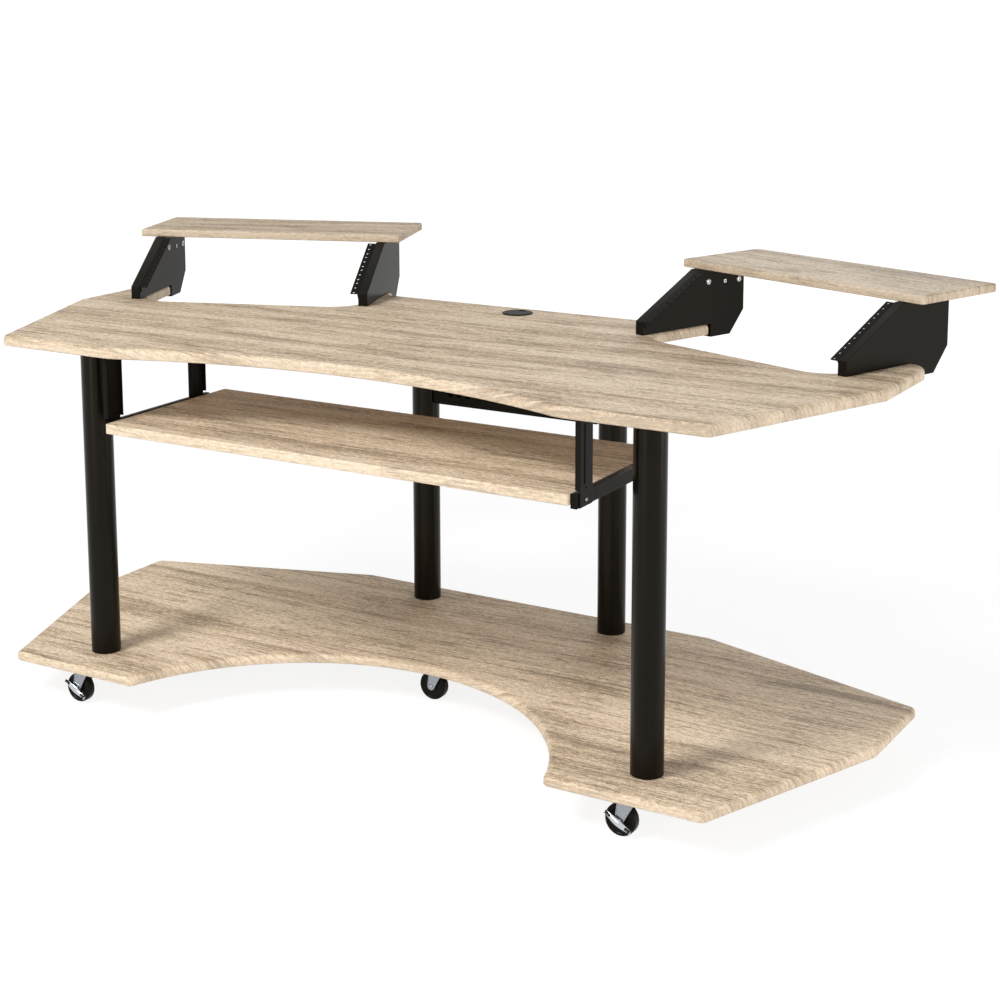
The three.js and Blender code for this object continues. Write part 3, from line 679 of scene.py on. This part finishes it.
def hexBolt():
    s = boltSizes
    hexagon = [(s["hexCorner"] * math.cos(math.radians(60 * k)),
                s["hexCorner"] * math.sin(math.radians(60 * k))) for k in range(6)]
    washer = turned([(0, -s["sink"]), (s["washerRadius"], -s["sink"]), (s["washerRadius"], s["washerThick"]),
                     (0, s["washerThick"])], 32)
    return together(plate(hexagon, s["washerThick"] - 0.2, s["headHeight"]), washer)


def bolts():
    under = millimetres("base_board")[0].z - boltSizes["sink"]
    places = []
    for name in legNames:
        low, high = millimetres("leg_" + name)
        places.append((((low.x + high.x) / 2, (low.y + high.y) / 2, under), (0, 0, -1)))
    scattered("baseBolts", hexBolt(), places, "bolt_zinc", "frame",
              ["base_bolt_" + name for name in legNames], bevel=boltSizes["ease"])
    for name in legNames:                # the studs stay as their solids, inside the legs
        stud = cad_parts["leg_stud_" + name].data
        stud.materials.clear()
        stud.materials.append(finishes["bolt_zinc"])


def beam():                              # a folded channel, open at the top
    s = beamSizes
    low, high = millimetres("rear_beam")
    t = s["sheet"]
    channel = [(low.y, low.z), (high.y, low.z), (high.y, high.z), (high.y - t, high.z),
               (high.y - t, low.z + t), (low.y + t, low.z + t), (low.y + t, high.z), (low.y, high.z)]
    places = []
    for k in range(s["count"]):
        x = (k - (s["count"] - 1) / 2) * s["pitch"]
        places.append(((x, low.y + t / 2, (low.z + high.z) / 2), (0, 1, 0)))
    punched("beamChannel", plate(channel, low.x, high.x, "X"), places, s["hole"], "black_paint", "frame",
            ["rear_beam"], bevel=s["bend"])


legs()
bolts()
beam()
print("legs and beam made")


# Rack bays: folded brackets, punched rails and their screws
bracketSizes = {
    "foot": 27, "slant": 153, "bend": 0.0013,
    "discs": [(182, 87), (270, 84)], "discRadius": 6.4, "discHeight": 1.6, "discHole": 2.6,
    "clip": (229, 84), "clipHalf": 3.6, "clipHeight": 0.9, "clipRound": 0.8, "pin": 1.5,
}
railSizes = {"flange": 17, "leg": 14, "sheet": 2, "gap": 0.3, "hole": 2.3, "unit": 44.45, "units": 4,
             "places": (6.35, 22.225, 38.1), "rowSpan": 465.1, "shortBy": 3, "bend": 0.0004}


def capScrew(radius, height, hole, depth=0.8):    # a domed ring with a sunk middle
    profile = [(0, height - depth), (hole, height - depth), (hole * 1.05, height - 0.1),
               (hole * 1.35, height), (radius * 0.72, height * 0.92), (radius * 0.93, height * 0.55),
               (radius, 0.1), (radius, -0.25), (0, -0.25)]
    return turned(profile[::-1], 32)


def rail(name, which, side, end):        # an angle on one wall of a bay, with a slanted face
    s = railSizes
    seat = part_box("desktop")[1].z * 1000
    slope = math.atan2(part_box("rack_shelf_" + name)[0].z * 1000 - seat - bracketSizes["foot"],
                       bracketSizes["slant"])
    length = bracketSizes["slant"] / math.cos(slope) - s["shortBy"]
    face = bay["width"] / 2 - s["gap"]
    edge = bay["width"] / 2 - s["flange"]
    t = s["sheet"]
    section = [(edge, -t), (face - t, -t), (face - t, -s["leg"]), (face, -s["leg"]), (face, 0), (edge, 0)]
    section = [(end * x, z) for x, z in section][::end]
    row = end * s["rowSpan"] / 2
    last = (s["units"] - 1) * s["unit"] + s["places"][2] - s["places"][0]
    first = (length - last) / 2 - s["places"][0]
    places = [((row, first + unit * s["unit"] + place, -t / 2), (0, 0, 1))
              for unit in range(s["units"]) for place in s["places"]]
    tilt = Matrix.Translation((0, 0, seat + bracketSizes["foot"])) @ Matrix.Rotation(slope, 4, "X")
    punched(f"rail_{name}_{which}", plate(section, 0, length, "Y"), places, s["hole"], "rail_black",
            "frame", [f"rack_rail_{name}_{which}"], bayMatrix(side) @ tilt, bevel=s["bend"])


def bracketScrews():
    s = bracketSizes
    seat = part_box("desktop")[1].z * 1000
    h, e = s["clipHeight"], s["clipHalf"]
    back, up = s["clip"][0], seat + s["clip"][1]
    square = boxOutline(back - e, back + e, up - e, up + e, s["clipRound"])
    discs, pins = [], []
    for name, side in sides.items():
        matrix = toFrame.inverted() @ bayMatrix(side)
        turn = matrix.to_3x3()
        clips = []
        for end in (-1, 1):
            wall = end * (bay["width"] / 2)
            way = turn @ Vector((-end, 0, 0))
            discs += [(matrix @ Vector((wall, at, seat + rise)), way) for at, rise in s["discs"]]
            pins.append((matrix @ Vector((wall, back, up)), way))
            clips.append(plate(square, *sorted((wall + end * 0.2, wall - end * h)), "X"))
        piece("shelfClips_" + name, together(*clips), "bolt_zinc", "frame", matrix=bayMatrix(side),
              bevel=0.0002)
    scattered("bracketDiscs", capScrew(s["discRadius"], s["discHeight"], s["discHole"], 1.3), discs,
              "bolt_zinc", "frame")
    pin = turned([(0, -0.2), (s["pin"], -0.2), (s["pin"], h + 0.25), (0, h + 0.25)], 16)
    scattered("clipPins", pin, pins, "rail_black", "frame")


for name, side in sides.items():
    for end in (-1, 1):
        which = "outer" if end == side else "inner"
        refined(f"bracketShell_{name}_{which}", f"rack_bracket_{name}_{which}", "black_paint", "frame",
                bevel=bracketSizes["bend"], segments=3)
        rail(name, which, side, end)
bracketScrews()
print("rack bays made")


# Keyboard tray: slides, cages with balls, hangers
slideSizes = {"bend": 0.0008, "ballRadius": 1.5, "ballPitch": 10.7, "ballFrom": 158, "balls": 13,
              "ballAcross": 11.2, "ballSunk": 1.5}
hangerSizes = {"bend": 0.0011, "ribFrom": 15.5, "ribWidth": 6.5, "ribRise": 1.3, "ribLow": 38,
               "ribEnds": 12, "ribRound": 1.5, "boltUp": 11, "rivetUp": 31, "boltBack": 22,
               "screwIn": 19, "screwsBack": (11, 34), "screwSunk": 2.5}
hangerHeads = {"bolt": (3.6, 2.2, 1.6), "rivet": (2.4, 0.8, 1.0, 0.4), "screw": (4.0, 2.0, 1.5)}


def slides():
    s = slideSizes
    balls = []
    for name, side in sides.items():
        high = millimetres("slide_channel_" + name)[1].z
        outer = side * (abs(millimetres("keyboard_tray")[0].x) + s["ballAcross"])
        balls += [((outer, s["ballFrom"] + k * s["ballPitch"], high - s["ballSunk"]), (0, 0, 1))
                  for k in range(s["balls"])]
        refined("slideChannelShell_" + name, "slide_channel_" + name, "slide_black", "frame",
                bevel=s["bend"])
        refined("slideRunnerShell_" + name, "slide_runner_" + name, "slide_black", "tray",
                bevel=s["bend"])
        refined("slideCageShell_" + name, "slide_cage_" + name, "bolt_zinc", "slide_cages", bevel=0.0003)
    r = s["ballRadius"]
    dome = [(r * math.cos(a), r * math.sin(a)) for a in (math.radians(15 * k) for k in range(-6, 7))]
    dome[0], dome[-1] = (0, -r), (0, r)  # the poles are on the axis
    scattered("slideDimples", turned(dome, 16), balls, "bolt_zinc", "frame", sharp=60)


def hangers():
    s = hangerSizes
    heads, rivets, screws = [], [], []
    for name, side in sides.items():
        for spot in ("front", "rear"):
            node = f"tray_hanger_{spot}_{name}"
            refined(f"hangerShell_{spot}_{name}", node, "black_paint", "frame", bevel=s["bend"],
                    segments=3)
            low, high = millimetres(node)
            outer = high.x if side > 0 else low.x
            front = low.y + s["ribFrom"]
            stripe = boxOutline(front, front + s["ribWidth"], low.z + s["ribLow"], high.z - s["ribEnds"],
                                s["ribRound"])
            rib = plate(stripe, *sorted((outer - side * 0.3, outer + side * s["ribRise"])), "X")
            piece(f"hangerRib_{spot}_{name}", rib, "black_paint", "frame", bevel=s["bend"], segments=3)
            heads.append(((outer, low.y + s["boltBack"], low.z + s["boltUp"]), (side, 0, 0)))
            rivets.append(((outer, low.y + s["boltBack"], low.z + s["rivetUp"]), (side, 0, 0)))
            for back in s["screwsBack"]:
                screws.append(((outer - side * s["screwIn"], low.y + back, high.z - s["screwSunk"]),
                               (0, 0, -1)))
    scattered("hangerBolts", capScrew(*hangerHeads["bolt"]), heads, "bolt_zinc", "frame")
    scattered("hangerRivets", capScrew(*hangerHeads["rivet"]), rivets, "slide_black", "frame")
    scattered("hangerScrews", capScrew(*hangerHeads["screw"]), screws, "bolt_zinc", "frame")


slides()
hangers()
print("keyboard slides made")


# Cable grommet
grommet = {"flange": 32, "bore": 25.5, "wall": 2, "hole": 29, "drop": 20, "rise": 2.0, "lift": 0.3,
           "seat": -1.2, "capThick": 3, "slotHalf": 8, "slotFrom": 14, "slotRound": 3, "slotEnd": 0.8,
           "bend": 0.0007}


def grommetParts():
    g = grommet
    place = Matrix.Translation((*topSizes["cableHoleAt"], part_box("desktop")[1].z * 1000 + g["lift"]))
    seat, inner = g["seat"], g["bore"] - g["wall"]
    sleeve = [(inner, -g["drop"]), (g["hole"], -g["drop"]), (g["hole"], 0), (g["flange"], 0),
              (g["flange"], 0.7), (g["flange"] - 0.5, 1.5), (g["flange"] - 1.6, g["rise"]),
              (g["bore"] + 1.2, g["rise"]), (g["bore"] + 0.4, g["rise"] - 0.5), (g["bore"] + 0.3, seat),
              (inner, seat), (inner, -g["drop"])]
    piece("cableSleeve", moved(turned(sleeve, 72), place), "black_plastic", "frame", ["grommet_sleeve"])
    rim, half, under = g["bore"], g["slotHalf"], seat + g["lift"]
    mouth = math.sqrt(rim ** 2 - half ** 2)
    slot = rounded([(half, mouth, g["slotEnd"]), (half, g["slotFrom"], g["slotRound"]),
                    (-half, g["slotFrom"], g["slotRound"]), (-half, mouth, g["slotEnd"])], 15, closed=False)
    sweep = math.asin(half / rim)
    disc = [Vector((rim * math.cos(a), rim * math.sin(a))) for a in
            (math.pi / 2 + sweep + k * (2 * math.pi - 2 * sweep) / 64 for k in range(1, 64))]
    piece("cableCap", moved(plate(slot + disc, under, under + g["capThick"]), place), "black_plastic",
          "cable_cap", ["grommet_cap"], bevel=g["bend"], segments=3)


grommetParts()
print("grommet made")


# Casters
casterSizes = {
    "trail": 16, "wheelRadius": 29, "wheelHalf": 9, "treadRound": 3.5, "rimDepth": 5.5, "recess": 1.8,
    "hub": 10, "bore": 4.3, "forkInside": 11, "forkSheet": 2.5, "crownTop": 65.1, "crownThick": 3,
    "crownFront": 13, "crownBack": -19, "cheekEnd": 8, "lip": 1.6, "lipRise": 0.9, "axle": 4, "rivet": 4.6,
    "plateHalf": 26, "plateRound": 6, "plateThick": 2.5, "screwAt": 19, "screwHead": (4.2, 2.2, 1.5),
    "crownRound": 3, "rivetRise": 2.0, "tuck": 0.3,
    # The swivel race and the pin's head: radius, and height above the plate's underside
    "race": [(0, 0.5), (18, 0.5), (18, -0.6), (16.8, -2.2), (14.5, -3.4), (5, -3.4), (5, -9), (9, -9.6),
             (9, -10.6), (7.5, -11.4), (0, -11.4)],
}
pedalSizes = {"half": 28, "bulgeDown": 7.4, "bulgeUp": 5.2, "tip": 3.2, "dish": 3.2, "thick": 1.0,
              "tilt": math.radians(31), "gap": 2.9, "lipDepth": 4, "lipThick": 1.2, "padFrom": 15.8,
              "padTo": 26.4, "padLow": -2.2, "padHigh": 3.0, "padThick": 2.2, "slotHalf": 0.4,
              "slotInset": 3.2, "columns": 32, "rows": 8}
casterPlaces = ("front_left", "front_right", "centre", "rear_left", "rear_right")


def casterAt(place):                     # the drawing's origin on the swivel axis, at the floor
    low, high = millimetres("caster_plate_" + place)
    return Matrix.Translation(((low.x + high.x) / 2, (low.y + high.y) / 2, 0))


def wheelShape():                        # hub, sunk face, rim and a rounded tread
    s = casterSizes
    r, h, t, hub = s["wheelRadius"], s["wheelHalf"], s["treadRound"], s["hub"]
    face = [(s["bore"], h + 1), (hub - 0.6, h + 1), (hub, h + 0.4), (hub + 0.6, h - s["recess"]),
            (r - s["rimDepth"] - 1.2, h - s["recess"]), (r - s["rimDepth"], h - 0.5),
            (r - s["rimDepth"] + 0.8, h), (r - t + 0.4, h)]
    edge = [(r - t + t * math.sin(a), h - t + t * math.cos(a)) for a in
            (math.radians(15 * k) for k in range(1, 7))]
    half = face + edge
    profile = half + [(radius, -height) for radius, height in reversed(half)] + [half[0]]
    return moved(turned(profile[::-1], 72), axisY)


def forkShape():                         # two cheeks with raised lips, under a crown
    s = casterSizes
    wheelZ, end = s["wheelRadius"], s["cheekEnd"]
    foot = [Vector((-s["trail"] + end * math.cos(a), wheelZ + end * math.sin(a))) for a in
            (math.radians(180 + 13 * k) for k in range(13))]
    cheek = foot + [Vector((s["crownFront"], s["crownTop"])), Vector((s["crownBack"], s["crownTop"]))]
    shapes = []
    for side in (-1, 1):
        near, far = side * s["forkInside"], side * (s["forkInside"] + s["forkSheet"])
        shapes.append(plate(cheek, *sorted((near, far)), "Y"))
        for a, b in ((cheek[-1], foot[0]), (cheek[-2], foot[-1])):
            along = (b - a).normalized()
            inward = Vector((-along.y, along.x)) * (1 if a is cheek[-2] else -1)
            if inward.dot(Vector((-s["trail"], wheelZ)) - a) < 0:
                inward = -inward
            lip = [a, b, b + inward * s["lip"], a + inward * s["lip"]]
            shapes.append(plate(lip, *sorted((far - side * 0.2, far + side * s["lipRise"])), "Y"))
    out = s["forkInside"] + s["forkSheet"]
    crown = boxOutline(s["crownBack"], s["crownFront"], -out, out, s["crownRound"])
    shapes.append(plate(crown, s["crownTop"] - s["crownThick"], s["crownTop"]))
    return together(*shapes)


def axleShape():                         # a pin with domed ends, like a rivet
    s = casterSizes
    out = s["forkInside"] + s["forkSheet"] + 0.1
    dome = [(s["rivet"] * math.cos(a), out + s["rivetRise"] * math.sin(a)) for a in
            (math.radians(15 * k) for k in range(7))]
    dome[-1] = (0, dome[-1][1])
    half = [(s["axle"], 0), (s["axle"], out), *dome]
    profile = [(radius, -height) for radius, height in reversed(half)] + half[1:]
    return moved(turned(profile, 32), axisY)


def pedalFace():                         # how far out the pedal's inner face is
    return -(casterSizes["forkInside"] + casterSizes["forkSheet"] + pedalSizes["gap"])


def pedalShape():                        # a bowed, dished rocker: a grid, its thickness and two end lips
    s = pedalSizes
    columns, rows, near = s["columns"], s["rows"], pedalFace()
    points, faces = [], []
    for layer in (0, 1):
        for i in range(columns + 1):
            u = 2 * i / columns - 1
            swell = math.cos(u * math.pi / 2) ** 1.4
            for j in range(rows + 1):
                v = 2 * j / rows - 1
                bulge = s["bulgeDown"] if v < 0 else s["bulgeUp"]
                dish = s["dish"] * swell * (1 - 0.8 * v * v)
                points.append((u * s["half"], near - dish - layer * s["thick"],
                               v * (s["tip"] + (bulge - s["tip"]) * swell)))
    step = rows + 1
    size = (columns + 1) * step
    for i in range(columns):
        for j in range(rows):
            a = i * step + j
            faces.append([a, a + 1, a + step + 1, a + step])
            faces.append([size + a, size + a + step, size + a + step + 1, size + a + 1])
    rim = [i * step for i in range(columns + 1)] + [columns * step + j for j in range(1, rows + 1)]
    rim += [i * step + rows for i in range(columns - 1, -1, -1)] + [j for j in range(rows - 1, 0, -1)]
    for a, b in zip(rim, rim[1:] + rim[:1]):
        faces.append([a, b, size + b, size + a])
    lips = []
    for x in (-s["half"], s["half"] - s["lipThick"]):
        lips.append(block((x, near - s["lipDepth"], -s["tip"]), (x + s["lipThick"], near - 0.3, s["tip"])))
    return moved(together((points, faces), *lips), Matrix.Rotation(s["tilt"], 4, "Y"))


def pedalPads():                         # rubber foot pads at the rocker's ends, each with a pale slot
    s = pedalSizes
    face = pedalFace() - s["thick"] + 0.2
    pads, slots = [], []
    for end in (-1, 1):
        x0, x1 = sorted((end * s["padFrom"], end * s["padTo"]))
        middle = (s["padLow"] + s["padHigh"]) / 2
        pads.append(block((x0, face - s["padThick"], s["padLow"]), (x1, face, s["padHigh"])))
        slots.append(block((x0 + s["slotInset"], face - s["padThick"] - 0.25, middle - s["slotHalf"]),
                           (x1 - s["slotInset"], face - s["padThick"] + 0.2, middle + s["slotHalf"])))
    turn = Matrix.Rotation(s["tilt"], 4, "Y")
    return moved(together(*pads), turn), moved(together(*slots), turn)


def plateShape():                        # the top plate with its swivel race and pin
    s = casterSizes
    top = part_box("base_board")[0].z * 1000 - s["tuck"]
    under = top - s["plateThick"]
    e = s["plateHalf"]
    flat = plate(boxOutline(-e, e, -e, e, s["plateRound"]), under, top)
    return together(flat, turned([(radius, under + height) for radius, height in s["race"]]))


def casters():
    s = casterSizes
    screws = []
    for place in casterPlaces:
        at = casterAt(place)
        axle = at @ Matrix.Translation((-s["trail"], 0, s["wheelRadius"]))
        piece("wheel_" + place, moved(wheelShape(), axle), "wheel_black", "wheel_" + place,
              ["caster_wheel_" + place], sharp=28)
        piece("fork_" + place, moved(forkShape(), at), "caster_zinc", "swivel_" + place,
              ["caster_fork_" + place], bevel=0.0005)
        piece("axle_" + place, moved(axleShape(), axle), "caster_zinc", "swivel_" + place,
              ["caster_axle_" + place])
        piece("plate_" + place, moved(plateShape(), at), "caster_zinc", "frame",
              ["caster_plate_" + place], bevel=0.0003)
        if place.startswith("front"):
            pads, slots = pedalPads()
            piece("pedal_" + place, moved(pedalShape(), axle), "caster_zinc", "pedal_" + place,
                  ["brake_pedal_" + place], bevel=0.0002, sharp=40, look="pedal_zinc")
            piece("pedalPad_" + place, moved(pads, axle), "wheel_black", "pedal_" + place, bevel=0.0004)
            piece("pedalSlot_" + place, moved(slots, axle), "caster_zinc", "pedal_" + place)
        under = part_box("caster_plate_" + place)[1].z * 1000 - s["plateThick"]
        for i in (-1, 1):
            for j in (-1, 1):
                screws.append((at @ Vector((i * s["screwAt"], j * s["screwAt"], under)), (0, 0, -1)))
    scattered("casterScrews", capScrew(*s["screwHead"]), screws, "bolt_zinc", "frame")


casters()
print("casters made")


# Stage, camera and light
cameraSet = {"place": (1.9631, -3.19950, 1.4433), "yaw": 30.408, "pitch": 9.788, "roll": 0.106,
             "lens": 69.70, "sensor": 36, "shift": -0.2}
lampSet = {
    "world": 0.37, "floorGlow": 0.8, "glowStrength": 1.08, "glowFrom": 2.4, "glowFull": 4.0,
    "key": {"place": (-1.2, -3.4, 3.9), "aim": (0, 0, 0.5), "size": 1.6, "power": 181},
    "front": {"place": (-0.4, -4.6, 0.75), "aim": (0, 0, 0.45), "size": 1.4, "power": 46},
    "side": {"place": (4.3, 0.9, 0.45), "aim": (0, 0, 0.4), "size": 0.9, "power": 46},
    "fill": {"place": (4.0, -1.9, 1.5), "aim": (0.4, 0, 0.1), "size": 1.2, "power": 50},
    "rear": {"place": (-0.8, 5.0, 1.8), "aim": (0, 0, 0.4), "size": 2.4, "power": 40},
    "floorReach": 14, "floorCard": (0.9, 0.9, 0.9, 1),
}


def seenDirectly(graph):                 # 1 for the camera, mirrors and glass, 0 for plain light
    path = graph.tree.nodes.new("ShaderNodeLightPath")
    ray = {name: Wire(graph, path.outputs[name]) for name in
           ("Is Camera Ray", "Is Glossy Ray", "Is Transmission Ray")}
    both = ray["Is Camera Ray"].sum("MAXIMUM", ray["Is Camera Ray"], ray["Is Glossy Ray"])
    return both.sum("MAXIMUM", both, ray["Is Transmission Ray"])


def whiteWorld():
    world = bpy.data.worlds.new("studio")
    scene.world = world
    world.use_nodes = True
    background = world.node_tree.nodes["Background"]
    background.inputs["Color"].default_value = (1, 1, 1, 1)
    strength = seenDirectly(Graph(world.node_tree)) * (1 - lampSet["world"]) + lampSet["world"]
    world.node_tree.links.new(strength.socket, background.inputs["Strength"])


def paleFloor():
    white = bpy.data.materials.new("paleFloor")
    white.use_nodes = True
    white.node_tree.nodes.clear()
    graph = Graph(white.node_tree)
    card = graph.node("ShaderNodeBsdfDiffuse", None, {"Color": lampSet["floorCard"]})
    glow = graph.node("ShaderNodeEmission", None, {
        "Color": (1, 1, 1, 1), "Strength": lampSet["glowStrength"]})
    # Away from the desk the floor glows fully, so that it ends in the white behind it
    away = graph.node("ShaderNodeVectorMath", {"operation": "LENGTH"}, {
        0: graph.node("ShaderNodeTexCoord", out="Object")}, "Value")
    full = graph.node("ShaderNodeMapRange", None, {
        0: away, 1: lampSet["glowFrom"], 2: lampSet["glowFull"], 3: lampSet["floorGlow"], 4: 1.0})
    mixed = graph.node("ShaderNodeMixShader", None, {0: seenDirectly(graph) * full, 1: card, 2: glow})
    graph.node("ShaderNodeOutputMaterial", None, {0: mixed})
    mesh = bpy.data.meshes.new("floor")
    reach = lampSet["floorReach"]
    mesh.from_pydata([(-reach, -reach, 0), (reach, -reach, 0), (reach, reach, 0), (-reach, reach, 0)], [],
                     [[0, 1, 2, 3]])
    mesh.materials.append(white)
    floor = bpy.data.objects.new("floor", mesh)
    scene.collection.objects.link(floor)


def lamps():
    for name in ("key", "front", "side", "fill", "rear"):
        s = lampSet[name]
        lamp = bpy.data.lights.new(name, "AREA")
        lamp.shape, lamp.size, lamp.energy = "DISK", s["size"], s["power"]
        obj = bpy.data.objects.new(name, lamp)
        obj.location = s["place"]
        obj.rotation_euler = (Vector(s["aim"]) - Vector(s["place"])).to_track_quat("-Z", "Y").to_euler()
        scene.collection.objects.link(obj)


def camera():
    data = bpy.data.cameras.new("camera")
    data.lens, data.sensor_width = cameraSet["lens"], cameraSet["sensor"]
    data.shift_y = cameraSet["shift"]
    obj = bpy.data.objects.new("camera", data)
    obj.location = cameraSet["place"]
    obj.rotation_euler = (math.radians(90 - cameraSet["pitch"]), math.radians(cameraSet["roll"]),
                          math.radians(cameraSet["yaw"]))
    scene.collection.objects.link(obj)
    scene.camera = obj


whiteWorld()
paleFloor()
lamps()
camera()
scene.view_settings.view_transform = "Standard"
print("stage made")
